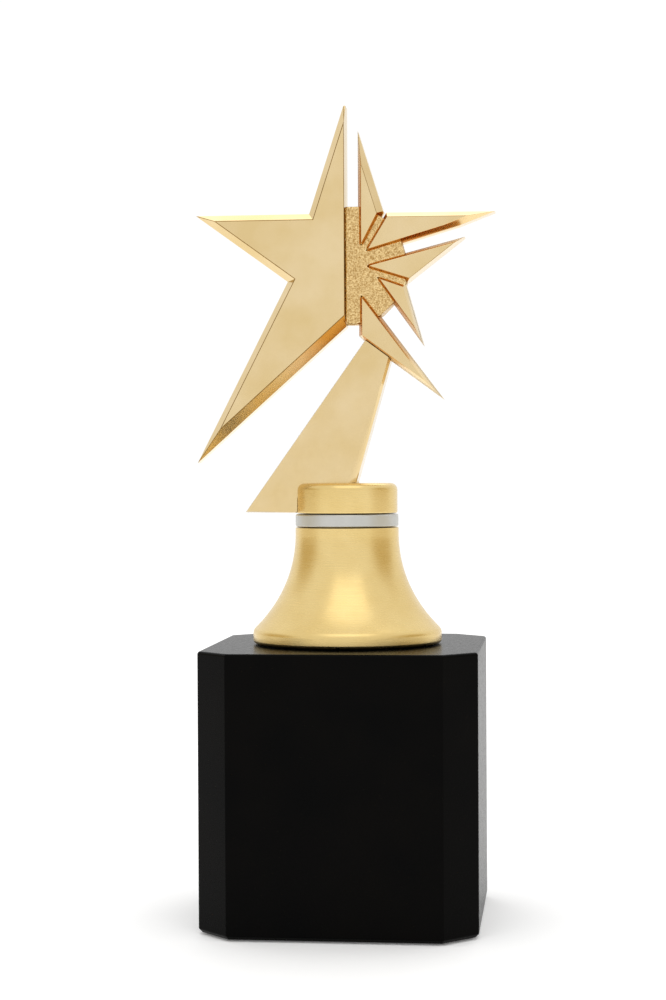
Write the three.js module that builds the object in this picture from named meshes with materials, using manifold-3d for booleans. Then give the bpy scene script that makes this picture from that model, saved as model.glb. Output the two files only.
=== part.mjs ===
// Star trophy: a cast half star with five broken-out shards on a stippled core plate,
// carried by a leaning leg blade in a slotted cap, over a silver collar and a flared bell
// riser, all drawn down on a black plinth by one central stud.
// Millimetres, +Z up, front face towards -Y, origin under the middle of the felt pad.

import * as THREE from "three";
import { ConvexGeometry } from "three/addons/geometries/ConvexGeometry.js";
import { mergeVertices } from "three/addons/utils/BufferGeometryUtils.js";
import Module from "manifold-3d";

const wasm = await Module();
wasm.setup();

// ---- Fits -------------------------------------------------------------------------------
const gap = 0.3; // between two pieces that touch
const cutMargin = 2; // how far a cutting tool runs past the face it opens

// ---- Plinth and felt --------------------------------------------------------------------
const plinthWidth = 90;
const plinthDepth = 90;
const plinthHeight = 90.5;
const plinthCornerCut = 10.7; // length cut from each side at a vertical corner
const plinthTopEase = 0.6; // eased edge round the top face
const plinthFootEase = 1.3; // eased edge round the underside
const studHoleRadius = 3.5;
const counterboreRadius = 11;
const counterboreDepth = 24;
const feltThickness = 1.5;
const feltRecessDepth = 1.3;
const feltMargin = 5; // plinth rim left round the felt

// ---- Bell riser -------------------------------------------------------------------------
const bellHeight = 38.5;
const bellNeckRadius = 17.25;
const bellRimRadius = 31.5;
const bellNeckHeight = 2.6; // straight part under the collar
const bellRimHeight = 2.2; // upright band at the foot, below its rounded shoulder
const bellShoulder = 2.6; // radius that turns the flare down into the rim
const bellFootEase = 1.2;
const bellWall = 2.4;
const bellCrown = 5; // thickness of the closed top that the stud pulls on
const bellHoleRadius = 3.4;
const rimNotchCount = 6;
const rimNotchWidth = 2.2;
const rimNotchHeight = 0.8;
const rimNotchDepth = 1.2;

// ---- Collar -----------------------------------------------------------------------------
const collarRadius = 17.2;
const collarHeight = 4.2;
const collarHoleRadius = 3.4;
const collarEase = 0.35;

// ---- Cap --------------------------------------------------------------------------------
const capRadius = 16.9;
const capHeight = 10;
const capTopRounding = 2.2;
const capFootEase = 0.5;
const capSlotDepth = 5;

// ---- Star figure ------------------------------------------------------------------------
const starRadius = 52.6; // centre to a sharp point of the five-pointed star
const starCentreRise = 73.4; // star centre above the top of the cap
const starFront = -6.75; // polished front face of the figure
const starThickness = 9;
const faceLayer = 3; // depth of the bevels, and of the pieces where they lie on the core plate
const outerBevel = 2.2; // bevel along the star's own outline
const longEdgeBevel = 2.9; // bevel under the stretched lower arm
const topShardBevel = 2.1;
const rightArmBevel = 1.7;
const smallShardBevel = 1.1;
const crackBevel = 1.3; // bevel along a crack between shards
const noseBevel = 1; // bevel across the blunt inner end of a shard
const cutBevel = 0.3; // bevel along the straight cut of the half star
const fineBevel = 0.3;
const coreRecess = 0.6; // stippled face below the polished faces
const starPointBlunt = 0.012; // share of the star radius taken off the upright point

// ---- Leg blade --------------------------------------------------------------------------
const legThickness = 10.5; // centred on the stud
const legTongueThickness = 2.7;
const legReach = 33.7; // foot point to the left of the stud
const legFootWidth = 3.3; // right side of the blade where it enters the cap, from the stud
const legFootRise = 0.4; // underside of the overhanging foot above the cap's underside
const legEdgeBevel = 0.8;
const legBevelDepth = 1.2;

// ---- Fixings ----------------------------------------------------------------------------
const studRadius = 3;
const nutAcrossFlats = 10;
const nutHeight = 5;
const flatWasherRadius = 9;
const flatWasherThickness = 1.6;
const springWasherRadius = 5.9;
const springWasherThickness = 1.6;
const springWasherSplit = 1.2;
const studPastNut = 6;
const threadEngagement = 2; // shard screws in the thin backs of the shards
const coreEngagement = 4.5; // tongue screws in the core plate
const footEngagement = 5; // foot screws in the leg blade
const shardScrew = { shank: 1, head: 1.9, headHeight: 1.2, socket: 0.7, socketDepth: 0.8 };
const legScrew = { shank: 1.25, head: 2.35, headHeight: 1.5, socket: 0.85, socketDepth: 1 };
const footScrew = { shank: 1, head: 1.9, headHeight: 1.2, socket: 0.7, socketDepth: 0.8 };
const footScrewWall = 0.7; // metal left between a foot screw's seat and the stud hole or the cap's edge

// ---- Facets -----------------------------------------------------------------------------
const bellFacets = 56;
const discFacets = 48;
const screwFacets = 12;
const flareSteps = 10;

// ---- Heights that follow from the sizes ---------------------------------------------------
const plinthFoot = feltThickness - feltRecessDepth + gap;
const plinthTop = plinthFoot + plinthHeight;
const bellFoot = plinthTop + gap;
const bellTop = bellFoot + bellHeight;
const collarFoot = bellTop + gap;
const capFoot = collarFoot + collarHeight + gap;
const capTop = capFoot + capHeight;
const capSlotFloor = capTop - capSlotDepth;
const footScrewRoom = footScrew.head + gap + footScrewWall;
const footScrewPlaces = [
  -(studRadius + gap + footScrewRoom),
  -(capRadius - capFootEase - footScrewRoom),
]; // to the left of the stud
const starCentre = capTop + starCentreRise;
const starBack = starFront + starThickness;
const facePlane = starFront + faceLayer; // back of the thin parts that lie on the core plate
const coreFloor = facePlane + gap; // bottom of the core plate's pockets
const coreFront = starFront + coreRecess;
const tongueFront = starBack + gap;
const tongueBack = tongueFront + legTongueThickness;
const legFront = -legThickness / 2;
const legBack = legThickness / 2;

// ---- Finishes ---------------------------------------------------------------------------
const finishes = {
  polishedGold: { color: 0xe5c98f, roughness: 0.12, metalness: 1 },
  stippledGold: { color: 0xc79a52, roughness: 0.45, metalness: 1 },
  satinGold: { color: 0xe0c27c, roughness: 0.3, metalness: 1 },
  satinSilver: { color: 0xb6bcc0, roughness: 0.35, metalness: 1 },
  blackLacquer: { color: 0x101010, roughness: 0.45, metalness: 0 },
  zincPlated: { color: 0xa9abad, roughness: 0.4, metalness: 1 },
  blackFelt: { color: 0x1a1a1c, roughness: 0.95, metalness: 0 },
};

// ---- Solids -----------------------------------------------------------------------------
function solidOf(geometry) {
  const bare = geometry.clone();
  bare.deleteAttribute("normal");
  bare.deleteAttribute("uv");
  const merged = mergeVertices(bare, 1e-4);
  return new wasm.Manifold(
    new wasm.Mesh({
      numProp: 3,
      vertProperties: merged.attributes.position.array,
      triVerts: new Uint32Array(merged.index.array),
    }),
  );
}

function meshOf(name, solid, finish) {
  const data = solid.getMesh();
  const geometry = new THREE.BufferGeometry();
  geometry.setAttribute("position", new THREE.BufferAttribute(data.vertProperties, 3));
  geometry.setIndex(new THREE.BufferAttribute(data.triVerts, 1));
  geometry.computeVertexNormals();
  const mesh = new THREE.Mesh(geometry, new THREE.MeshStandardMaterial(finishes[finish]));
  mesh.name = name;
  return mesh;
}

// A box between two corners.
function box(low, high) {
  const size = new THREE.Vector3().subVectors(high, low);
  const middle = new THREE.Vector3().addVectors(low, high).multiplyScalar(0.5);
  const geometry = new THREE.BoxGeometry(size.x, size.y, size.z);
  return solidOf(geometry.translate(middle.x, middle.y, middle.z));
}

// A round body about the upright axis; the profile lists [radius, height] upwards outside.
function turned(profile, facets) {
  const points = profile.map(([radius, height]) => new THREE.Vector2(radius, height));
  return solidOf(new THREE.LatheGeometry(points, facets).rotateX(Math.PI / 2));
}

function uprightCylinder(radius, low, high, facets) {
  const geometry = new THREE.CylinderGeometry(radius, radius, high - low, facets);
  geometry.rotateX(Math.PI / 2);
  return solidOf(geometry.translate(0, 0, (low + high) / 2));
}

// ---- Outlines: counter-clockwise points, each with the bevel of the edge it starts ----------
function corner(x, y, bevel = 0) {
  return { x, y, bevel };
}

function edgesOf(outline) {
  return outline.map((start, index) => {
    const end = outline[(index + 1) % outline.length];
    const length = Math.hypot(end.x - start.x, end.y - start.y);
    return {
      start,
      normal: { x: (end.y - start.y) / length, y: (start.x - end.x) / length },
      bevel: start.bevel,
    };
  });
}

// The part of a convex outline that lies inside one edge moved inwards by inset.
function clipped(outline, edge, inset) {
  const outside = (point) =>
    (point.x - edge.start.x) * edge.normal.x +
    (point.y - edge.start.y) * edge.normal.y +
    inset;
  const kept = [];
  outline.forEach((point, index) => {
    const next = outline[(index + 1) % outline.length];
    const here = outside(point);
    const there = outside(next);
    if (here <= 0) kept.push(point);
    if (here * there < 0) {
      const share = here / (here - there);
      const x = point.x + share * (next.x - point.x);
      const y = point.y + share * (next.y - point.y);
      kept.push(corner(x, y));
    }
  });
  return kept;
}

function bevelledFace(outline) {
  return edgesOf(outline).reduce((face, edge) => clipped(face, edge, edge.bevel), outline);
}

function insetOutline(outline, inset) {
  return edgesOf(outline).reduce((face, edge) => clipped(face, edge, inset), outline);
}

// Every edge moved outwards by the same amount, with the bevels kept.
function grown(outline, amount) {
  const edges = edgesOf(outline);
  return edges.map((edge, index) => {
    const before = edges[(index + edges.length - 1) % edges.length];
    const lean = 1 + before.normal.x * edge.normal.x + before.normal.y * edge.normal.y;
    const x = edge.start.x + (amount * (before.normal.x + edge.normal.x)) / lean;
    const y = edge.start.y + (amount * (before.normal.y + edge.normal.y)) / lean;
    return corner(x, y, edge.bevel);
  });
}

// ---- Plates that stand in the figure's plane: outline x is X, outline y is Z ----------------
function layer(outline, depth) {
  return outline.map((point) => new THREE.Vector3(point.x, depth, point.y));
}

// A convex plate whose front edges are bevelled as its outline says.
function bevelledPlate(outline, front, back, bevelDepth) {
  return solidOf(
    new ConvexGeometry([
      ...layer(bevelledFace(outline), front),
      ...layer(outline, front + bevelDepth),
      ...layer(outline, back),
    ]),
  );
}

function flatPlate(outline, front, back) {
  const shape = new THREE.Shape(outline.map((point) => new THREE.Vector2(point.x, point.y)));
  const geometry = new THREE.ExtrudeGeometry(shape, {
    depth: back - front,
    bevelEnabled: false,
  });
  return solidOf(geometry.rotateX(Math.PI / 2).translate(0, back, 0));
}

// A convex block built up from level outlines: outline x is X, outline y is Y.
function levelBlock(levels) {
  const points = levels.flatMap(([outline, height]) =>
    outline.map((point) => new THREE.Vector3(point.x, point.y, height)),
  );
  return solidOf(new ConvexGeometry(points));
}

// ---- The star's points, in shares of its radius from its centre ----------------------------
function starPoint(across, up, bevel = 0) {
  return corner(across * starRadius, starCentre + up * starRadius, bevel);
}

function starRay(share, degrees, bevel = 0) {
  const angle = THREE.MathUtils.degToRad(degrees);
  return starPoint(share * Math.cos(angle), share * Math.sin(angle), bevel);
}

const innerShare = Math.cos(THREE.MathUtils.degToRad(72)) / Math.cos(THREE.MathUtils.degToRad(36));
const cutShare = 0.0095; // straight cut, just right of the star's middle
const upperArmFoot = innerShare * Math.sin(THREE.MathUtils.degToRad(54)); // height of the arm line
const longTip = { across: -0.9487, up: -1.2643 };
const cutFoot = { across: cutShare, up: -0.4068 };

const cutMiddle = { across: cutShare, up: -0.3 }; // where the three plates meet inside the star

// Three convex plates that together make the half star: its upright arm, its side arm and
// its long lower arm. Each runs on into the middle of the star, so that the bevels of two
// arms meet in a clean valley at each inner corner.
function halfStarOutlines() {
  const innerLeft = starRay(innerShare, 198);
  const notch = starRay(innerShare, 126);
  const armSlope = (notch.x - innerLeft.x) / (notch.y - innerLeft.y);
  const bluntTop = starPoint(0, 1 - starPointBlunt);
  const bluntAcross = -starPointBlunt * starRadius * armSlope;
  const upright = [
    starPoint(cutMiddle.across, cutMiddle.up, cutBevel),
    starPoint(cutShare, 1 - starPointBlunt, fineBevel),
    corner(bluntAcross, bluntTop.y, outerBevel),
    corner((innerLeft.x + notch.x) / 2, (innerLeft.y + notch.y) / 2),
  ];
  const side = [
    starPoint(cutMiddle.across, cutMiddle.up, cutBevel),
    starPoint(cutShare, upperArmFoot, outerBevel),
    starRay(1, 162, outerBevel),
    innerLeft,
  ];
  const long = [
    starPoint(longTip.across, longTip.up, longEdgeBevel),
    starPoint(cutFoot.across, cutFoot.up, cutBevel),
    starPoint(cutShare, 0),
    starRay(innerShare, 198, outerBevel),
  ];
  return [upright, side, long];
}

// Outlines of the five shards. Each runs on past its crack bevels to a blunt inner end.
const shardOutlines = {
  shard_top: [
    starPoint(0.0865, 0.0894, noseBevel),
    starPoint(0.1262, 0.0894, crackBevel),
    starPoint(0.2462, 0.3175, topShardBevel),
    starPoint(0.0865, 0.827, crackBevel),
  ],
  shard_right_upper: [
    starPoint(0.1255, 0.0433, crackBevel),
    starPoint(0.7319, 0.2215, rightArmBevel),
    starPoint(0.9511, 0.3051, rightArmBevel),
    starPoint(0.2662, 0.309, crackBevel),
    starPoint(0.1325, 0.0875, noseBevel),
  ],
  shard_right_lower: [
    starPoint(0.1388, -0.0485, crackBevel),
    starPoint(0.3977, -0.1317, fineBevel),
    starPoint(0.7605, 0.1483, crackBevel),
    starPoint(0.1388, -0.0106, noseBevel),
  ],
  shard_low_small: [
    starPoint(0.1882, -0.0992, crackBevel),
    starPoint(0.5, -0.5342, smallShardBevel),
    starPoint(0.3878, -0.1454, crackBevel),
    starPoint(0.2015, -0.0789, noseBevel),
  ],
  shard_low_long: [
    starPoint(0.0903, -0.4677, fineBevel),
    starPoint(0.1293, -0.5057, crackBevel),
    starPoint(0.6255, -0.8726, crackBevel),
    starPoint(0.1171, -0.1958, noseBevel),
    starPoint(0.0903, -0.1958, crackBevel),
  ],
};

// One screw holds each shard, and two hold the half star.
const shardScrewPlaces = {
  shard_top: starPoint(0.1502, 0.2567),
  shard_right_upper: starPoint(0.2567, 0.1806),
  shard_right_lower: starPoint(0.2947, -0.0342),
  shard_low_small: starPoint(0.289, -0.1673),
  shard_low_long: starPoint(0.1445, -0.3042),
};
const halfStarScrewPlaces = [starPoint(-0.0798, 0.2), starPoint(-0.0798, -0.2567)];
const tongueScrewPlaces = [starPoint(0.0494, -0.0989), starPoint(0.0494, -0.2757)];

const coreOutline = [
  starPoint(-0.1331, -0.3884),
  starPoint(0.0867, -0.3884),
  starPoint(0.2326, -0.3343),
  starPoint(0.3144, -0.252),
  starPoint(0.3854, -0.1408),
  starPoint(0.383, 0.0329),
  starPoint(0.3527, 0.1343),
  starPoint(0.2468, 0.2648),
  starPoint(0.1276, 0.3389),
  starPoint(-0.1331, 0.3389),
];

const tongueOutline = [
  starPoint(0.1027, -0.4611),
  starPoint(0.3042, -0.5799),
  starPoint(0.3042, -0.5513),
  starPoint(0.2053, -0.3327),
  starPoint(0.2053, -0.0475),
  starPoint(-0.0856, -0.0475),
  starPoint(-0.0856, -0.3479),
  starPoint(0.1027, -0.3479),
];

// ---- Screws -----------------------------------------------------------------------------
// Profile of a countersunk screw, from its flat head down to its end.
function screwProfile(size, length) {
  return [
    [0, 0],
    [size.head, 0],
    [size.shank, size.headHeight],
    [size.shank, length],
    [0, length],
  ];
}

function alongDepth(profile, place, headPlane) {
  const points = profile.map(([radius, depth]) => new THREE.Vector2(radius, -depth));
  const geometry = new THREE.LatheGeometry(points.reverse(), screwFacets);
  return solidOf(geometry.translate(place.x, headPlane, place.y));
}

function hexagonAlongDepth(radius, place, front, back) {
  const geometry = new THREE.CylinderGeometry(radius, radius, back - front, 6);
  return solidOf(geometry.translate(place.x, (front + back) / 2, place.y));
}

// A screw put in from the back, its head flush with headPlane.
function backScrew(size, place, headPlane, length) {
  const body = alongDepth(screwProfile(size, length), place, headPlane);
  const front = headPlane - size.socketDepth;
  return body.subtract(hexagonAlongDepth(size.socket, place, front, headPlane + cutMargin));
}

// The clear hole for such a screw: wider all round, deeper at its end, open at its head.
function backScrewHole(size, place, headPlane, length) {
  const profile = [
    [0, -cutMargin],
    [size.head + gap, -cutMargin],
    [size.head + gap, gap],
    [size.shank + gap, size.headHeight + gap],
    [size.shank + gap, length + gap],
    [0, length + gap],
  ];
  return alongDepth(profile, place, headPlane);
}

const shardScrewLength = starBack - facePlane + threadEngagement;
const tongueScrewLength = legTongueThickness + gap + coreEngagement;

function holesForShardScrews(places) {
  return places.map((place) => backScrewHole(shardScrew, place, starBack, shardScrewLength));
}

function cut(solid, tools) {
  return tools.reduce((rest, tool) => rest.subtract(tool), solid);
}

// ---- Star figure pieces ---------------------------------------------------------------------
// The room a front piece needs in its neighbours: its own shape with a gap all round.
function roomFor(outline, back) {
  return bevelledPlate(grown(outline, gap), starFront - gap, back, faceLayer + gap);
}

// Where a front piece lies on the core plate it is only as thick as its bevels are deep.
function overCore(solid) {
  return solid.subtract(flatPlate(grown(coreOutline, gap), facePlane, starBack + cutMargin));
}

function makeHalfStar() {
  const plates = halfStarOutlines().map((outline) =>
    bevelledPlate(outline, starFront, starBack, faceLayer),
  );
  const whole = plates.reduce((joined, plate) => joined.add(plate));
  return cut(overCore(whole), holesForShardScrews(halfStarScrewPlaces));
}

function makeShard(name) {
  const plate = bevelledPlate(shardOutlines[name], starFront, starBack, faceLayer);
  return cut(overCore(plate), holesForShardScrews([shardScrewPlaces[name]]));
}

function makeCorePlate() {
  // Straight walls beside the half star, so that nothing stands in front of its long bevel.
  const underHalfStar = halfStarOutlines().map((outline) =>
    flatPlate(grown(outline, gap), starFront - gap, coreFloor),
  );
  const underShards = Object.values(shardOutlines).map((outline) =>
    roomFor(outline, coreFloor),
  );
  const shardHoles = holesForShardScrews([
    ...halfStarScrewPlaces,
    ...Object.values(shardScrewPlaces),
  ]);
  const tongueHoles = tongueScrewPlaces.map((place) =>
    backScrewHole(legScrew, place, tongueBack, tongueScrewLength),
  );
  return cut(flatPlate(coreOutline, coreFront, starBack), [
    ...underHalfStar,
    ...underShards,
    ...shardHoles,
    ...tongueHoles,
  ]);
}

function legOutline() {
  const foot = capFoot + legFootRise;
  const shoulder = starPoint(0.2966, -0.5741, fineBevel);
  const lean = (shoulder.x - legFootWidth) / (shoulder.y - capTop);
  return [
    corner(-legReach, foot, fineBevel),
    corner(legFootWidth - lean * (capTop - foot), foot, legEdgeBevel),
    shoulder,
    starPoint(0.3042, -0.5513, fineBevel),
    starPoint(0.1806, -0.4277, fineBevel),
  ];
}

function makeLegBlade() {
  const outline = legOutline();
  const blade = bevelledPlate(outline, legFront, legBack, legBevelDepth);
  const overCap = uprightCylinder(
    capRadius + gap,
    capFoot - cutMargin,
    capSlotFloor + gap,
    discFacets,
  );
  const besideShard = roomFor(shardOutlines.shard_low_long, tongueFront);
  const shaped = cut(blade, [overCap, besideShard]);
  const tongue = flatPlate(tongueOutline, tongueFront, legBack);
  const screwHoles = tongueScrewPlaces.map((place) =>
    backScrewHole(legScrew, place, tongueBack, tongueScrewLength),
  );
  return cut(shaped.add(tongue), [...screwHoles, ...footScrewHoles()]);
}

// ---- Cap, collar and bell -------------------------------------------------------------------
const footScrewLength = capSlotFloor - capFoot + gap + footEngagement;

// The profile is measured upwards from the screw's flat head.
function uprightScrewSolid(profile, across, headPlane) {
  return turned(profile, screwFacets).translate([across, 0, headPlane]);
}

function footScrewHoles() {
  return footScrewPlaces.map((across) =>
    uprightScrewSolid(
      [
        [0, -cutMargin],
        [footScrew.head + gap, -cutMargin],
        [footScrew.head + gap, gap],
        [footScrew.shank + gap, footScrew.headHeight + gap],
        [footScrew.shank + gap, footScrewLength + gap],
        [0, footScrewLength + gap],
      ],
      across,
      capFoot,
    ),
  );
}

function makeFootScrew(across) {
  const body = uprightScrewSolid(screwProfile(footScrew, footScrewLength), across, capFoot);
  const low = capFoot - cutMargin;
  const socket = uprightCylinder(footScrew.socket, low, capFoot + footScrew.socketDepth, 6);
  return body.subtract(socket.translate([across, 0, 0]));
}

// Points along a quarter of a rounded edge, from angle start to angle end in degrees.
function rounding(centreRadius, centreHeight, radius, start, end, steps) {
  return Array.from({ length: steps + 1 }, (_, index) => {
    const angle = THREE.MathUtils.degToRad(start + ((end - start) * index) / steps);
    return [centreRadius + radius * Math.cos(angle), centreHeight + radius * Math.sin(angle)];
  });
}

function makeCap() {
  const body = turned(
    [
      [0, capFoot],
      ...rounding(capRadius - capFootEase, capFoot + capFootEase, capFootEase, -90, 0, 2),
      ...rounding(capRadius - capTopRounding, capTop - capTopRounding, capTopRounding, 0, 90, 5),
      [0, capTop],
    ],
    discFacets,
  );
  const slot = box(
    new THREE.Vector3(-capRadius - cutMargin, legFront - gap, capSlotFloor),
    new THREE.Vector3(legFootWidth + gap, legBack + gap, capTop + cutMargin),
  );
  const studHole = uprightCylinder(
    studRadius + gap,
    capFoot - cutMargin,
    capSlotFloor + cutMargin,
    discFacets / 2,
  );
  return cut(body, [slot, studHole, ...footScrewHoles()]);
}

function makeCollar() {
  const top = collarFoot + collarHeight;
  return turned(
    [
      [collarHoleRadius, collarFoot],
      ...rounding(collarRadius - collarEase, collarFoot + collarEase, collarEase, -90, 0, 1),
      ...rounding(collarRadius - collarEase, top - collarEase, collarEase, 0, 90, 1),
      [collarHoleRadius, top],
      [collarHoleRadius, collarFoot],
    ],
    discFacets,
  );
}

// Outer line of the bell's flare, from the shoulder above the rim up to the straight neck.
function flareCurve() {
  const shoulderHeight = bellFoot + bellRimHeight + bellFootEase;
  const low = new THREE.Vector2(
    bellRimRadius - bellShoulder * (1 - Math.SQRT1_2),
    shoulderHeight + bellShoulder * Math.SQRT1_2,
  );
  const high = new THREE.Vector2(bellNeckRadius, bellTop - bellNeckHeight);
  const rise = high.y - low.y;
  const lowPull = new THREE.Vector2(low.x - rise * 0.32, low.y + rise * 0.32);
  const highPull = new THREE.Vector2(high.x + 0.2, high.y - rise * 0.33);
  return new THREE.CubicBezierCurve(low, lowPull, highPull, high);
}

function makeBell() {
  const flare = flareCurve();
  const shares = Array.from({ length: flareSteps + 1 }, (_, index) => index / flareSteps);
  const outside = shares.map((share) => flare.getPoint(share).toArray());
  const inside = shares
    .map((share) => {
      const point = flare.getPoint(share);
      const along = flare.getTangent(share);
      return [point.x - bellWall * along.y, point.y + bellWall * along.x];
    })
    .filter(([, height]) => height < bellTop - bellCrown)
    .reverse();
  const shoulderHeight = bellFoot + bellRimHeight + bellFootEase;
  const shoulder = rounding(bellRimRadius - bellShoulder, shoulderHeight, bellShoulder, 0, 45, 3);
  const insideFoot = bellRimRadius - bellWall;
  const body = turned(
    [
      [insideFoot, bellFoot],
      ...rounding(bellRimRadius - bellFootEase, bellFoot + bellFootEase, bellFootEase, -90, 0, 3),
      ...shoulder.slice(0, -1),
      ...outside,
      [bellNeckRadius, bellTop],
      [bellHoleRadius, bellTop],
      [bellHoleRadius, bellTop - bellCrown],
      [bellNeckRadius - bellWall, bellTop - bellCrown],
      ...inside,
      [insideFoot, bellFoot + bellRimHeight],
      [insideFoot, bellFoot],
    ],
    bellFacets,
  );
  return cut(body, rimNotches());
}

function rimNotches() {
  const notch = box(
    new THREE.Vector3(
      -rimNotchWidth / 2,
      -bellRimRadius - cutMargin,
      bellFoot - cutMargin,
    ),
    new THREE.Vector3(
      rimNotchWidth / 2,
      -bellRimRadius + rimNotchDepth,
      bellFoot + rimNotchHeight,
    ),
  );
  return Array.from({ length: rimNotchCount }, (_, index) =>
    notch.rotate([0, 0, (index * 360) / rimNotchCount]),
  );
}

// ---- Plinth and felt ------------------------------------------------------------------------
function plinthOutline() {
  const x = plinthWidth / 2;
  const y = plinthDepth / 2;
  const c = plinthCornerCut;
  return [
    corner(-x + c, -y),
    corner(x - c, -y),
    corner(x, -y + c),
    corner(x, y - c),
    corner(x - c, y),
    corner(-x + c, y),
    corner(-x, y - c),
    corner(-x, -y + c),
  ];
}

function makePlinth() {
  const outline = plinthOutline();
  const block = levelBlock([
    [insetOutline(outline, plinthFootEase), plinthFoot],
    [outline, plinthFoot + plinthFootEase],
    [outline, plinthTop - plinthTopEase],
    [insetOutline(outline, plinthTopEase), plinthTop],
  ]);
  const recess = levelBlock([
    [insetOutline(outline, feltMargin - gap), plinthFoot - cutMargin],
    [insetOutline(outline, feltMargin - gap), plinthFoot + feltRecessDepth],
  ]);
  const low = plinthFoot - cutMargin;
  const counterboreTop = plinthFoot + counterboreDepth;
  const counterbore = uprightCylinder(counterboreRadius, low, counterboreTop, discFacets);
  const bore = uprightCylinder(studHoleRadius, low, plinthTop + cutMargin, discFacets / 2);
  return cut(block, [recess, counterbore, bore]);
}

function makeFeltPad() {
  const outline = insetOutline(plinthOutline(), feltMargin);
  return levelBlock([
    [outline, 0],
    [outline, feltThickness],
  ]);
}

// ---- Central fixings ------------------------------------------------------------------------
const flatWasherTop = plinthFoot + counterboreDepth - gap;
const springWasherTop = flatWasherTop - flatWasherThickness - gap;
const nutTop = springWasherTop - springWasherThickness - gap;
const studFoot = nutTop - nutHeight - studPastNut;

function ring(outer, inner, low, high) {
  const body = uprightCylinder(outer, low, high, discFacets / 2);
  return body.subtract(uprightCylinder(inner, low - cutMargin, high + cutMargin, discFacets / 2));
}

function makeStud() {
  return uprightCylinder(studRadius, studFoot, capSlotFloor - gap, discFacets / 2);
}

function makeNut() {
  const circumradius = nutAcrossFlats / 2 / Math.cos(Math.PI / 6);
  const low = nutTop - nutHeight;
  const body = uprightCylinder(circumradius, low, nutTop, 6);
  const thread = uprightCylinder(
    studRadius + gap,
    low - cutMargin,
    nutTop + cutMargin,
    discFacets / 2,
  );
  return body.subtract(thread);
}

function makeFlatWasher() {
  return ring(
    flatWasherRadius,
    studRadius + gap,
    flatWasherTop - flatWasherThickness,
    flatWasherTop,
  );
}

function makeSpringWasher() {
  const low = springWasherTop - springWasherThickness;
  const whole = ring(springWasherRadius, studRadius + gap, low, springWasherTop);
  const split = box(
    new THREE.Vector3(0, -springWasherSplit / 2, low - cutMargin),
    new THREE.Vector3(
      springWasherRadius + cutMargin,
      springWasherSplit / 2,
      springWasherTop + cutMargin,
    ),
  );
  return whole.subtract(split);
}

// ---- The trophy -----------------------------------------------------------------------------
const trophy = new THREE.Group();

const starFigure = new THREE.Group();
starFigure.add(meshOf("half_star", makeHalfStar(), "polishedGold"));
starFigure.add(meshOf("core_plate", makeCorePlate(), "stippledGold"));
Object.keys(shardOutlines).forEach((name) => {
  starFigure.add(meshOf(name, makeShard(name), "polishedGold"));
  const screw = backScrew(shardScrew, shardScrewPlaces[name], starBack, shardScrewLength);
  starFigure.add(meshOf(name.replace("shard", "screw"), screw, "zincPlated"));
});
halfStarScrewPlaces.forEach((place, index) => {
  const screw = backScrew(shardScrew, place, starBack, shardScrewLength);
  starFigure.add(meshOf(`screw_half_star_${index + 1}`, screw, "zincPlated"));
});
starFigure.add(meshOf("leg_blade", makeLegBlade(), "polishedGold"));
tongueScrewPlaces.forEach((place, index) => {
  const screw = backScrew(legScrew, place, tongueBack, tongueScrewLength);
  starFigure.add(meshOf(`screw_tongue_${index + 1}`, screw, "zincPlated"));
});

const pedestal = new THREE.Group();
pedestal.add(meshOf("cap", makeCap(), "satinGold"));
footScrewPlaces.forEach((across, index) => {
  pedestal.add(meshOf(`screw_foot_${index + 1}`, makeFootScrew(across), "zincPlated"));
});
pedestal.add(meshOf("silver_collar", makeCollar(), "satinSilver"));
pedestal.add(meshOf("bell_riser", makeBell(), "satinGold"));

const base = new THREE.Group();
base.add(meshOf("plinth", makePlinth(), "blackLacquer"));
base.add(meshOf("felt_pad", makeFeltPad(), "blackFelt"));
base.add(meshOf("stud", makeStud(), "zincPlated"));
base.add(meshOf("flat_washer", makeFlatWasher(), "zincPlated"));
base.add(meshOf("spring_washer", makeSpringWasher(), "zincPlated"));
base.add(meshOf("hex_nut", makeNut(), "zincPlated"));

trophy.add(starFigure, pedestal, base);

export default trophy;
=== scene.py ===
import math
import bmesh
import bpy
from mathutils import Matrix, Vector, noise


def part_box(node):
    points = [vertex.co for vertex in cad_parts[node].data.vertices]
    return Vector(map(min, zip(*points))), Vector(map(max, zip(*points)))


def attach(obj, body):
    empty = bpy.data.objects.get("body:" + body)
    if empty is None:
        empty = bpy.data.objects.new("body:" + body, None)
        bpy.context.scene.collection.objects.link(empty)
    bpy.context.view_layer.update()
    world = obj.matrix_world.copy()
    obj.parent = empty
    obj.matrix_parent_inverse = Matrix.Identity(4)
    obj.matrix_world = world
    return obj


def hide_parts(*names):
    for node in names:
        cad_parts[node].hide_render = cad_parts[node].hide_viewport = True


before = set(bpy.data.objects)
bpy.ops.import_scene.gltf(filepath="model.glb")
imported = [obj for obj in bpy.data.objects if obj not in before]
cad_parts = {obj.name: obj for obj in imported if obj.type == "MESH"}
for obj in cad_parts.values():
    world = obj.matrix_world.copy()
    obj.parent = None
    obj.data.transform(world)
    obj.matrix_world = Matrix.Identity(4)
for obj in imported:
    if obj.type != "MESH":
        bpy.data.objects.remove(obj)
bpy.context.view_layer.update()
scene = bpy.context.scene
mm = 0.001
slack = Vector((mm, mm, mm))  # a box grows by this before it is searched


# sRGB hex to the linear values that the shaders take
def linearColour(hexText):
    parts = [int(hexText[i:i + 2], 16) / 255 for i in (0, 2, 4)]
    return [c / 12.92 if c <= 0.04045 else ((c + 0.055) / 1.055) ** 2.4 for c in parts] + [1]


# adds one node; an input given as a socket is linked, anything else is set
def addNode(tree, kind, inputs=None, **settings):
    node = tree.nodes.new(kind)
    for name, value in settings.items():
        setattr(node, name, value)
    for name, value in (inputs or {}).items():
        if isinstance(value, bpy.types.NodeSocket):
            tree.links.new(value, node.inputs[name])
        else:
            node.inputs[name].default_value = value
    return node


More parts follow.
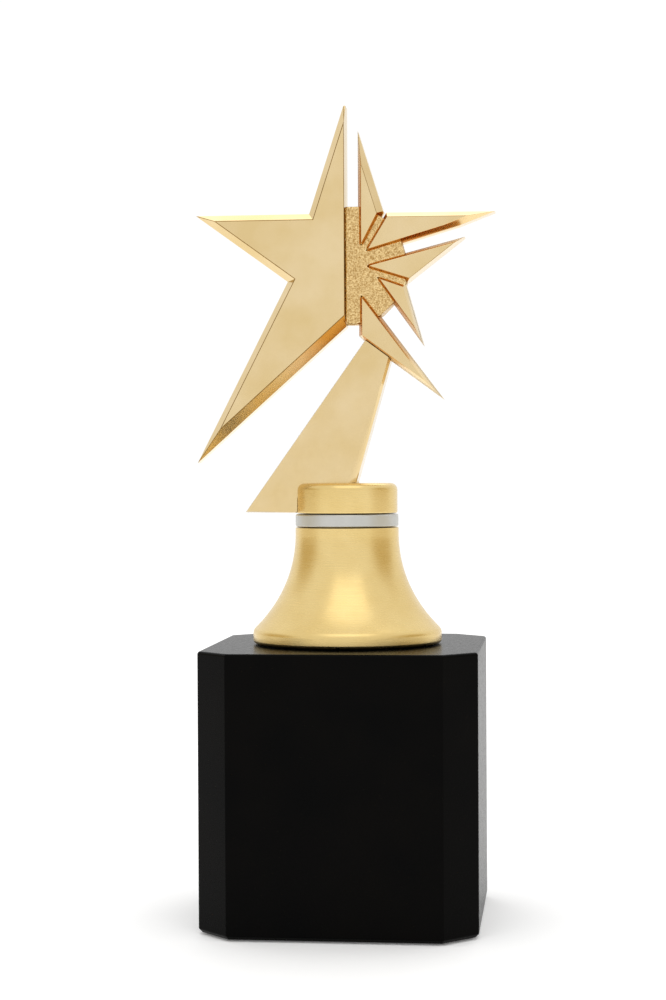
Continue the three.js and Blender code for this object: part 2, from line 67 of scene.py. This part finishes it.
# noise whose blobs are about sizeMm across; stretch above 1 packs them along that axis
def grain(tree, sizeMm, detail=2, stretch=(1, 1, 1)):
    place = addNode(tree, "ShaderNodeTexCoord").outputs["Object"]
    turned = addNode(tree, "ShaderNodeMapping", {"Vector": place, "Scale": stretch})
    made = {"Vector": turned.outputs["Vector"], "Scale": 1 / (sizeMm * mm), "Detail": detail}
    return addNode(tree, "ShaderNodeTexNoise", made).outputs["Fac"]


# noise keeps mostly between 0.3 and 0.7, which is spread from low to high
def mapped(tree, value, low, high):
    given = {"Value": value, "From Min": 0.3, "From Max": 0.7, "To Min": low, "To Max": high}
    return addNode(tree, "ShaderNodeMapRange", given).outputs["Result"]


# 0 up to nearMm from a middle point, 1 from farMm on
def distanceShare(tree, fade):
    place = addNode(tree, "ShaderNodeTexCoord").outputs["Object"]
    away = addNode(tree, "ShaderNodeVectorMath", {0: place, 1: fade["middle"]}, operation="DISTANCE")
    reach = {"From Min": fade["nearMm"] * mm, "From Max": fade["farMm"] * mm}
    return addNode(tree, "ShaderNodeMapRange", {"Value": away.outputs["Value"], **reach}).outputs["Result"]


# a colour mix takes its share at input 0 and its colours at 6 and 7, and gives its colour at output 2
def blended(tree, share, dark, light):
    inputs = {0: share, 6: linearColour(dark), 7: linearColour(light)}
    return addNode(tree, "ShaderNodeMix", inputs, data_type="RGBA").outputs[2]


# one finish: colour drifts over patchMm or fades with distance, relief has its own grain and depth
def makeFinish(name, look):
    material = bpy.data.materials.new(name)
    material.use_nodes = True
    tree = material.node_tree
    tree.nodes.clear()
    if "fade" in look:
        share = distanceShare(tree, look["fade"])
    else:
        share = mapped(tree, grain(tree, look["patchMm"], detail=3), 0, 1)
    relief = grain(tree, look["reliefMm"], look.get("reliefDetail", 2), look.get("stretch", (1, 1, 1)))
    bumped = {"Height": relief, "Strength": look["reliefStrength"], "Distance": look["reliefDepthMm"] * mm}
    surface = {
        "Base Color": blended(tree, share, look["dark"], look["light"]),
        "Roughness": mapped(tree, relief, *look["roughness"]),
        "Metallic": look["metallic"],
        "Normal": addNode(tree, "ShaderNodeBump", bumped).outputs["Normal"],
    }
    surface.update(look.get("constants", {}))
    shader = addNode(tree, "ShaderNodeBsdfPrincipled", surface)
    addNode(tree, "ShaderNodeOutputMaterial", {"Surface": shader.outputs["BSDF"]})
    return material


finishes = {
    # gold plated zinc casting, buffed bright: clear reflections with a faint wheel haze
    "polished_gold": makeFinish("polishedGoldPlate", {
        "dark": "DBC18C", "light": "E3CC9F", "patchMm": 14, "roughness": (0.10, 0.17), "metallic": 1,
        "reliefMm": 2.4, "reliefStrength": 0.12, "reliefDepthMm": 0.02,
    }),
    # gold plate on the bevels down in the cracks, coloured with painted reflection and shade that stand in
    # for light bouncing between the gold walls: deep amber near the middle of the star, paling towards the
    # points
    "cracks": makeFinish("crackBevelPaintedReflection", {
        "dark": "C88A38", "light": "EDD29C", "roughness": (0.24, 0.3), "metallic": 1,
        "fade": {"middle": (0, -0.004, 0.218), "nearMm": 26, "farMm": 44},
        "reliefMm": 4, "reliefStrength": 0.03, "reliefDepthMm": 0.02,
    }),
    # rounded edge of a polished face: a painted reflection, a thin dark gold line standing for the dark
    # parts of a room that the edge turns to the eye
    "edges": makeFinish("paintedDarkEdgeReflection", {
        "dark": "7A5A28", "light": "94713A", "patchMm": 8, "roughness": (0.2, 0.3), "metallic": 1,
        "reliefMm": 2.4, "reliefStrength": 0.05, "reliefDepthMm": 0.02,
    }),
    # the same plate over a stippled casting: small pits that break the light up, and colour spotted at
    # random from dark brown to pale gold at about the size of the pits, painted shade and highlights of the
    # pits
    "stippled_gold": makeFinish("stippledGoldPlatePaintedPitShade", {
        "dark": "A37B40", "light": "EFD298", "patchMm": 0.5, "roughness": (0.3, 0.44), "metallic": 1,
        "reliefMm": 0.45, "reliefDetail": 1, "reliefStrength": 0.5, "reliefDepthMm": 0.08,
    }),
    # turned, brushed round its axis, then gold plated: faint rings, drawn 0.4 mm apart, which is
    # coarser than real so that they show
    "satin_gold": makeFinish("brushedSatinGoldPlate", {
        "dark": "DDC180", "light": "E4CA8C", "patchMm": 12, "roughness": (0.24, 0.32), "metallic": 1,
        "reliefMm": 12, "reliefStrength": 0.01, "reliefDepthMm": 0.02, "stretch": (1, 1, 30),
    }),
    # turned aluminium with a satin brush, rings as on the gold
    "satin_silver": makeFinish("satinTurnedAluminium", {
        "dark": "B9B9B4", "light": "C5C4BF", "patchMm": 12, "roughness": (0.3, 0.38), "metallic": 1,
        "reliefMm": 12, "reliefStrength": 0.04, "reliefDepthMm": 0.02, "stretch": (1, 1, 30),
    }),
    # satin black lacquer sprayed on fibreboard: faint orange peel, soft sheen at a low angle
    "black_lacquer": makeFinish("satinBlackLacquer", {
        "dark": "040404", "light": "070605", "patchMm": 20, "roughness": (0.23, 0.29), "metallic": 0,
        "reliefMm": 1.2, "reliefStrength": 0.15, "reliefDepthMm": 0.02,
        "constants": {"Specular IOR Level": 0.03},
    }),
    # bright zinc plated steel: slightly cloudy
    "zinc_plate": makeFinish("zincPlatedSteel", {
        "dark": "9B9EA2", "light": "BBBEC1", "patchMm": 1.5, "roughness": (0.25, 0.42), "metallic": 1,
        "reliefMm": 0.4, "reliefStrength": 0.1, "reliefDepthMm": 0.02,
    }),
    # pressed wool felt: short matted fibres with a light fuzz
    "black_felt": makeFinish("pressedWoolFelt", {
        "dark": "121214", "light": "232326", "patchMm": 2, "roughness": (0.9, 1), "metallic": 0,
        "reliefMm": 0.5, "reliefDetail": 5, "reliefStrength": 0.8, "reliefDepthMm": 0.2,
        "constants": {"Sheen Weight": 0.4, "Sheen Roughness": 0.5},
    }),
}
print("finishes made:", len(finishes))


# a merged copy of a CAD node as one clean shell with flat faces joined
def shellOf(nodeName):
    shape = bmesh.new()
    shape.from_mesh(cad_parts[nodeName].data)
    bmesh.ops.remove_doubles(shape, verts=shape.verts, dist=0.002 * mm)
    bmesh.ops.dissolve_limit(shape, angle_limit=math.radians(1), verts=shape.verts, edges=shape.edges)
    return shape


# closes most of a seam that the casting doesn't have: upright walls inside a box move outwards, a
# corner moves with both of its walls, and one between walls set back to back stays
wall = {"upright": 0.6, "sameWay": 0.99, "backToBack": -0.8}


def growWalls(shape, byMm, corners):
    low, high = (Vector(c) for c in corners)
    moves = {}
    for vertex in shape.verts:
        if all(a <= b <= c for a, b, c in zip(low, vertex.co, high)):
            sides = []
            for face in vertex.link_faces:
                outward = Vector((face.normal.x, 0, face.normal.z))
                isWall = outward.length > wall["upright"]
                if isWall and all(outward.normalized().dot(s) < wall["sameWay"] for s in sides):
                    sides.append(outward.normalized())
            if len(sides) == 1:
                moves[vertex] = sides[0]
            elif len(sides) == 2 and sides[0].dot(sides[1]) > wall["backToBack"]:
                moves[vertex] = (sides[0] + sides[1]) / (1 + sides[0].dot(sides[1]))
    for vertex, move in moves.items():
        vertex.co += move * byMm * mm


# bevels that face a crack, by the way they face: degrees from right, anticlockwise
crackSides = {
    "half_star": (-48,),
    "shard_top": (180, -28),
    "shard_right_upper": (-74, 149, 180),
    "shard_right_lower": (104, -108, 180),
    "shard_low_small": (-144, 70),
    "shard_low_long": (37, 180, -126),
}
# a polished piece has two more finishes, the painted reflection and shade of its crack bevels and the
# painted dark reflection line of its eased edges; lean is a face's normal.y, -1 to the front and 0 sideways
crack = {"slot": 1, "lean": (-0.75, -0.15), "withinDegrees": 7}
line = {"slot": 2, "lean": (-0.985, -0.72)}


def facesCrack(face, nodeName):
    turned = math.degrees(math.atan2(face.normal.z, face.normal.x))
    off = [abs((turned - side + 180) % 360 - 180) for side in crackSides[nodeName]]
    return min(off) < crack["withinDegrees"]


def markCracks(shape, nodeName):
    for face in shape.faces:
        if crack["lean"][0] < face.normal.y < crack["lean"][1] and facesCrack(face, nodeName):
            face.material_index = crack["slot"]


# rounds sharp edges; on a polished piece the ones between its face and its bevels get a painted dark
# reflection line
def easeEdges(shape, widthMm, angle, nodeName):
    sharp = [e for e in shape.edges if e.is_manifold and e.calc_face_angle(0) > math.radians(angle)]
    eased = bmesh.ops.bevel(shape, geom=sharp, offset=widthMm * mm, offset_type="OFFSET", segments=3,
                            profile=0.5, affect="EDGES", clamp_overlap=True, material=-1)
    for face in eased["faces"] if nodeName in crackSides else []:
        leans = line["lean"][0] < face.normal.y < line["lean"][1]
        if leans and (nodeName == "half_star" or not facesCrack(face, nodeName)):
            face.material_index = line["slot"]


def placePiece(shape, pieceName, slotName, nodeName, smoothAngle=32, others=()):
    mesh = bpy.data.meshes.new(pieceName)
    shape.to_mesh(mesh)
    shape.free()
    mesh.shade_smooth()
    mesh.set_sharp_from_angle(angle=math.radians(smoothAngle))
    for finishName in (slotName, *others):
        mesh.materials.append(finishes[finishName])
    piece = bpy.data.objects.new(pieceName, mesh)
    scene.collection.objects.link(piece)
    weighted = piece.modifiers.new("flatFaces", "WEIGHTED_NORMAL")
    weighted.keep_sharp = True
    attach(piece, "root")
    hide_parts(nodeName)
    return piece


# node: finish, width of its eased edges in mm
easedNodes = {
    "half_star": ("polished_gold", 0.16),
    "shard_top": ("polished_gold", 0.12),
    "shard_right_upper": ("polished_gold", 0.12),
    "shard_right_lower": ("polished_gold", 0.12),
    "shard_low_small": ("polished_gold", 0.12),
    "shard_low_long": ("polished_gold", 0.12),
    "leg_blade": ("polished_gold", 0.16),
    "cap": ("satin_gold", 0.12),
    "silver_collar": ("satin_silver", 0.1),
    "plinth": ("black_lacquer", 0.35),
    "felt_pad": ("black_felt", 0.3),
}
sharpAngle = 25  # degrees between faces from which an edge is eased
legSeams = {"neighbours": ("shard_low_long", "cap"), "byMm": 0.25}
for nodeName, (slotName, width) in easedNodes.items():
    shape = shellOf(nodeName)
    if nodeName == "leg_blade":
        for neighbour in legSeams["neighbours"]:
            low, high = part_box(neighbour)
            growWalls(shape, legSeams["byMm"], (low - slack, high + slack))
    if nodeName in crackSides:
        markCracks(shape, nodeName)
    easeEdges(shape, width, sharpAngle, nodeName)
    # crack bevels take the painted crack reflection, eased face edges the painted dark reflection line
    others = ("cracks", "edges") if nodeName in crackSides else ()
    placePiece(shape, nodeName + "_finished", slotName, nodeName, others=others)
print("edges eased on", len(easedNodes), "pieces")

# small fixings keep their CAD shape
fixings = [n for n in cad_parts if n.startswith("screw_")]
fixings += ["stud", "flat_washer", "spring_washer", "hex_nut"]
for nodeName in fixings:
    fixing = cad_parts[nodeName].data
    fixing.materials.clear()
    fixing.materials.append(finishes["zinc_plate"])
print("fixings finished:", len(fixings))

# stippled plate: its front is cut into a fine grid, each point is pushed in or out, and beside a
# pocket the points slope down to the shards
core = {
    "gridMm": 0.2, "grainMm": 0.5, "fineGrain": 2.1, "fineShare": 0.5, "depthMm": 0.16,
    "seamMm": 0.25, "rimMm": 0.45, "pocketsEndMm": -3, "frontLean": -0.99, "frontSlackMm": 0.05,
    "smoothAngle": 50,
}
plate = shellOf("core_plate")
plateLow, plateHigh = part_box("core_plate")
growWalls(plate, core["seamMm"], (plateLow - slack, plateHigh + slack))


def frontFaces():
    facing = [f for f in plate.faces if f.normal.y < core["frontLean"]]
    return [f for f in facing if abs(f.calc_center_median().y - plateLow.y) < core["frontSlackMm"] * mm]


def besidePocket(edge):
    walls = [f for f in edge.link_faces if f.normal.y > core["frontLean"]]
    return any(max(v.co.y for v in f.verts) < core["pocketsEndMm"] * mm for f in walls)


def flat(place):
    return Vector((place.x, place.z))


# each thing once, in a fixed order
def once(things):
    return list(dict.fromkeys(things))


rimEdges = [e for e in once(e for f in frontFaces() for e in f.edges) if besidePocket(e)]
rims = [[flat(v.co) for v in e.verts] for e in rimEdges]
rims = [(a, b - a) for a, b in rims if (b - a).length > 1e-6]


# how far up the slope a place is: 0 at a pocket's wall, 1 on the open plate
def slopeShare(place):
    spot = flat(place)
    away = min((spot - a - along * min(1, max(0, (spot - a).dot(along) / along.length_squared))).length
               for a, along in rims)
    return min(1, away / (core["rimMm"] * mm))


across = (Vector((1, 0, 0)), plateLow.x, plateHigh.x)
upwards = (Vector((0, 0, 1)), plateLow.z, plateHigh.z)
for axis, start, end in (across, upwards):
    for step in range(1, int((end - start) / (core["gridMm"] * mm))):
        faces = frontFaces()
        parts = faces + once(e for f in faces for e in f.edges) + once(v for f in faces for v in f.verts)
        where = axis * (start + step * core["gridMm"] * mm)
        bmesh.ops.bisect_plane(plate, geom=parts, dist=1e-7, plane_co=where, plane_no=axis)
stippled = frontFaces()
for face in stippled:
    face.material_index = 1 if slopeShare(face.calc_center_median()) < 1 else 0
for vertex in once(v for f in stippled for v in f.verts):
    share = slopeShare(vertex.co)
    inside = all(f.normal.y < core["frontLean"] for f in vertex.link_faces)
    spot = vertex.co / (core["grainMm"] * mm)
    pitted = noise.noise(spot) + core["fineShare"] * noise.noise(spot * core["fineGrain"])
    push = core["depthMm"] * mm * pitted if inside else 0
    vertex.co.y += (1 - share) * core["rimMm"] * mm - push
bmesh.ops.triangulate(plate, faces=[f for f in plate.faces if len(f.verts) > 4])
print("core plate faces", len(plate.faces), "rims", len(rims))
placePiece(plate, "core_plate_stippled", "stippled_gold", "core_plate",
           smoothAngle=core["smoothAngle"], others=("polished_gold",))

# bell riser: the flare spun finely, wall inside, then small notches cut under the rim; footPull and
# neckPull bend the flare and are shares of its rise, the sizes are in mm
bellLow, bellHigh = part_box("bell_riser")
bell = {
    "rim": 31.5, "foot": bellLow.z / mm, "top": bellHigh.z / mm,
    "neck": 17.25, "neckHeight": 2.6, "rimHeight": 2.2, "shoulder": 2.6, "footEase": 1.2,
    "footPull": 0.32, "neckPull": 0.33, "neckLean": 0.2,
    "wall": 2.4, "crown": 5, "hole": 3.4, "spinSteps": 192, "flareSteps": 40, "roundSteps": 8,
    "notches": 6, "notchWidth": 1.2, "notchHeight": 0.7, "notchDepth": 3,
}


def arc(centreR, centreZ, radius, start, end):
    steps = bell["roundSteps"]
    turns = [math.radians(start + (end - start) * i / steps) for i in range(steps + 1)]
    return [(centreR + radius * math.cos(t), centreZ + radius * math.sin(t)) for t in turns]


shoulderZ = bell["foot"] + bell["rimHeight"] + bell["footEase"]
slant = math.sqrt(0.5)
lowEnd = Vector((
    bell["rim"] - bell["shoulder"] * (1 - slant),
    shoulderZ + bell["shoulder"] * slant,
))
highEnd = Vector((bell["neck"], bell["top"] - bell["neckHeight"]))
rise = highEnd.y - lowEnd.y
lowPull = lowEnd + Vector((-bell["footPull"], bell["footPull"])) * rise
highPull = highEnd + Vector((bell["neckLean"], -bell["neckPull"] * rise))
outside, inside = [], []
for i in range(bell["flareSteps"] + 1):
    t = i / bell["flareSteps"]
    a, b, c, d = lowEnd, lowPull, highPull, highEnd
    point = a * (1 - t) ** 3 + b * 3 * t * (1 - t) ** 2 + c * 3 * t * t * (1 - t) + d * t ** 3
    along = ((b - a) * (1 - t) ** 2 + (c - b) * 2 * t * (1 - t) + (d - c) * t * t).normalized()
    outside.append((point.x, point.y))
    inner = (point.x - bell["wall"] * along.y, point.y + bell["wall"] * along.x)
    if inner[1] < bell["top"] - bell["crown"]:
        inside.append(inner)
insideFoot = bell["rim"] - bell["wall"]
crownZ = bell["top"] - bell["crown"]
profile = [(insideFoot, bell["foot"])]
profile += arc(bell["rim"] - bell["footEase"], bell["foot"] + bell["footEase"], bell["footEase"], -90, 0)
profile += arc(bell["rim"] - bell["shoulder"], shoulderZ, bell["shoulder"], 0, 45)[:-1] + outside
profile += [(bell["neck"], bell["top"]), (bell["hole"], bell["top"]), (bell["hole"], crownZ)]
profile += [(bell["neck"] - bell["wall"], crownZ)] + inside[::-1]
profile += [(insideFoot, bell["foot"] + bell["rimHeight"])]

shape = bmesh.new()
ring = [shape.verts.new((r * mm, 0, z * mm)) for r, z in profile]
loop = [shape.edges.new((ring[i - 1], ring[i])) for i in range(len(ring))]
bmesh.ops.spin(shape, geom=ring + loop, cent=(0, 0, 0), axis=(0, 0, 1), angle=2 * math.pi,
               steps=bell["spinSteps"], use_merge=True, use_duplicate=False)
bmesh.ops.remove_doubles(shape, verts=shape.verts, dist=0.002 * mm)
bmesh.ops.recalc_face_normals(shape, faces=shape.faces)
bellPiece = placePiece(shape, "bell_riser_finished", "satin_gold", "bell_riser")

# each notch is cut by a box twice its size, whose middle is on the rim's lower edge
cutters = bmesh.new()
notch = (bell["notchWidth"] * mm, bell["notchDepth"] * 2 * mm, bell["notchHeight"] * 2 * mm)
for i in range(bell["notches"]):
    place = Matrix.Translation((0, -bell["rim"] * mm, bell["foot"] * mm))
    turn = Matrix.Rotation(2 * math.pi * i / bell["notches"], 4, "Z")
    bmesh.ops.create_cube(cutters, size=1, matrix=turn @ place @ Matrix.Diagonal((*notch, 1)))
cutterMesh = bpy.data.meshes.new("rimNotches")
cutters.to_mesh(cutterMesh)
cutters.free()
cutter = bpy.data.objects.new("rimNotches", cutterMesh)
scene.collection.objects.link(cutter)
notching = bellPiece.modifiers.new("notches", "BOOLEAN")
notching.operation = "DIFFERENCE"
notching.solver = "EXACT"
notching.object = cutter
bpy.context.view_layer.update()
cutBell = bpy.data.meshes.new_from_object(bellPiece.evaluated_get(bpy.context.evaluated_depsgraph_get()))
bellPiece.modifiers.remove(notching)
bellPiece.data = cutBell
bpy.data.objects.remove(cutter)
print("bell riser faces", len(cutBell.polygons))

# camera at a slight right-hand angle, nearly level: angles in degrees, distances in mm
view = {
    "turn": 6.372, "down": 0.643, "roll": -0.286,
    "away": 694.52, "aside": -4.672, "height": 146.775, "lensMm": 74.7396, "sensorMm": 36,
}
turn, down, roll = (math.radians(view[k]) for k in ("turn", "down", "roll"))
forward = Vector((-math.sin(turn) * math.cos(down), math.cos(turn) * math.cos(down), -math.sin(down)))
level = Vector((math.cos(turn), math.sin(turn), 0))
upright = level.cross(forward)
right = level * math.cos(roll) + upright * math.sin(roll)
top = upright * math.cos(roll) - level * math.sin(roll)
spot = Vector((math.sin(turn), -math.cos(turn), 0)) * view["away"] + level * view["aside"]
spot.z = view["height"]
cameraData = bpy.data.cameras.new("studioCamera")
cameraData.sensor_fit = "VERTICAL"
cameraData.sensor_height = view["sensorMm"]
cameraData.lens = view["lensMm"]
camera = bpy.data.objects.new("studioCamera", cameraData)
axes = Matrix((right, top, -forward)).transposed().to_4x4()
camera.matrix_world = Matrix.Translation(spot * mm) @ axes
scene.collection.objects.link(camera)
scene.camera = camera

# pale floor, with a faint glow so that it has no visible end, and soft studio light
studio = {
    "floorHalfWidth": 6, "strength": 1.03, "open": "FFFFFF",
    "flags": "D3C197", "flagsFrom": 0.8, "flagsTo": 0.98,
}
floorShape = bmesh.new()
bmesh.ops.create_grid(floorShape, x_segments=1, y_segments=1, size=studio["floorHalfWidth"])
floorMesh = bpy.data.meshes.new("studioFloor")
floorShape.to_mesh(floorMesh)
floorShape.free()
studioFloor = bpy.data.objects.new("studioFloor", floorMesh)
floorMesh.materials.append(makeFinish("paleStudioPaper", {
    "dark": "FBFBFB", "light": "FCFCFC", "patchMm": 30, "roughness": (0.97, 1), "metallic": 0,
    "reliefMm": 1, "reliefStrength": 0.01, "reliefDepthMm": 0.05,
    "constants": {"Emission Color": (1, 1, 1, 1), "Emission Strength": 0.1},
}))
scene.collection.objects.link(studioFloor)

# bright surround, warmer and darker towards the sides where tan flags stand; the backdrop is plain
world = bpy.data.worlds.new("studioWorld")
world.use_nodes = True
sky = world.node_tree
facing = addNode(sky, "ShaderNodeTexCoord").outputs["Generated"]
sideways = addNode(sky, "ShaderNodeSeparateXYZ", {"Vector": facing}).outputs["X"]
offMiddle = addNode(sky, "ShaderNodeMath", {0: sideways}, operation="ABSOLUTE").outputs["Value"]
flagEdge = {"Value": offMiddle, "From Min": studio["flagsFrom"], "From Max": studio["flagsTo"]}
share = addNode(sky, "ShaderNodeMapRange", flagEdge, interpolation_type="SMOOTHSTEP").outputs["Result"]
seen = addNode(sky, "ShaderNodeLightPath").outputs["Is Camera Ray"]
around = {0: seen, 6: blended(sky, share, studio["open"], studio["flags"]), 7: linearColour(studio["open"])}
colour = addNode(sky, "ShaderNodeMix", around, data_type="RGBA").outputs[2]
sky.links.new(colour, sky.nodes["Background"].inputs["Color"])
sky.nodes["Background"].inputs["Strength"].default_value = studio["strength"]
scene.world = world
scene.cycles.max_bounces = 24  # light goes back and forth between the gold walls of the cracks
scene.cycles.glossy_bounces = 24
scene.view_settings.view_transform = "Standard"

# lamp: place, width, height, power; each faces the middle of the trophy
lamps = {
    "highSoftbox": ((0.1, -0.75, 1.25), 1.2, 1.0, 2.0),
    "floorFill": ((0.0, 0.9, 1.6), 1.6, 1.6, 6),
}
trophyMiddle = Vector((0, 0, 0.15))
for lampName, (place, width, height, power) in lamps.items():
    lampData = bpy.data.lights.new(lampName, "AREA")
    lampData.shape = "RECTANGLE"
    lampData.size, lampData.size_y, lampData.energy = width, height, power
    lamp = bpy.data.objects.new(lampName, lampData)
    aim = trophyMiddle - Vector(place)
    lamp.matrix_world = Matrix.Translation(place) @ aim.to_track_quat("-Z", "Y").to_matrix().to_4x4()
    scene.collection.objects.link(lamp)
print("studio ready")
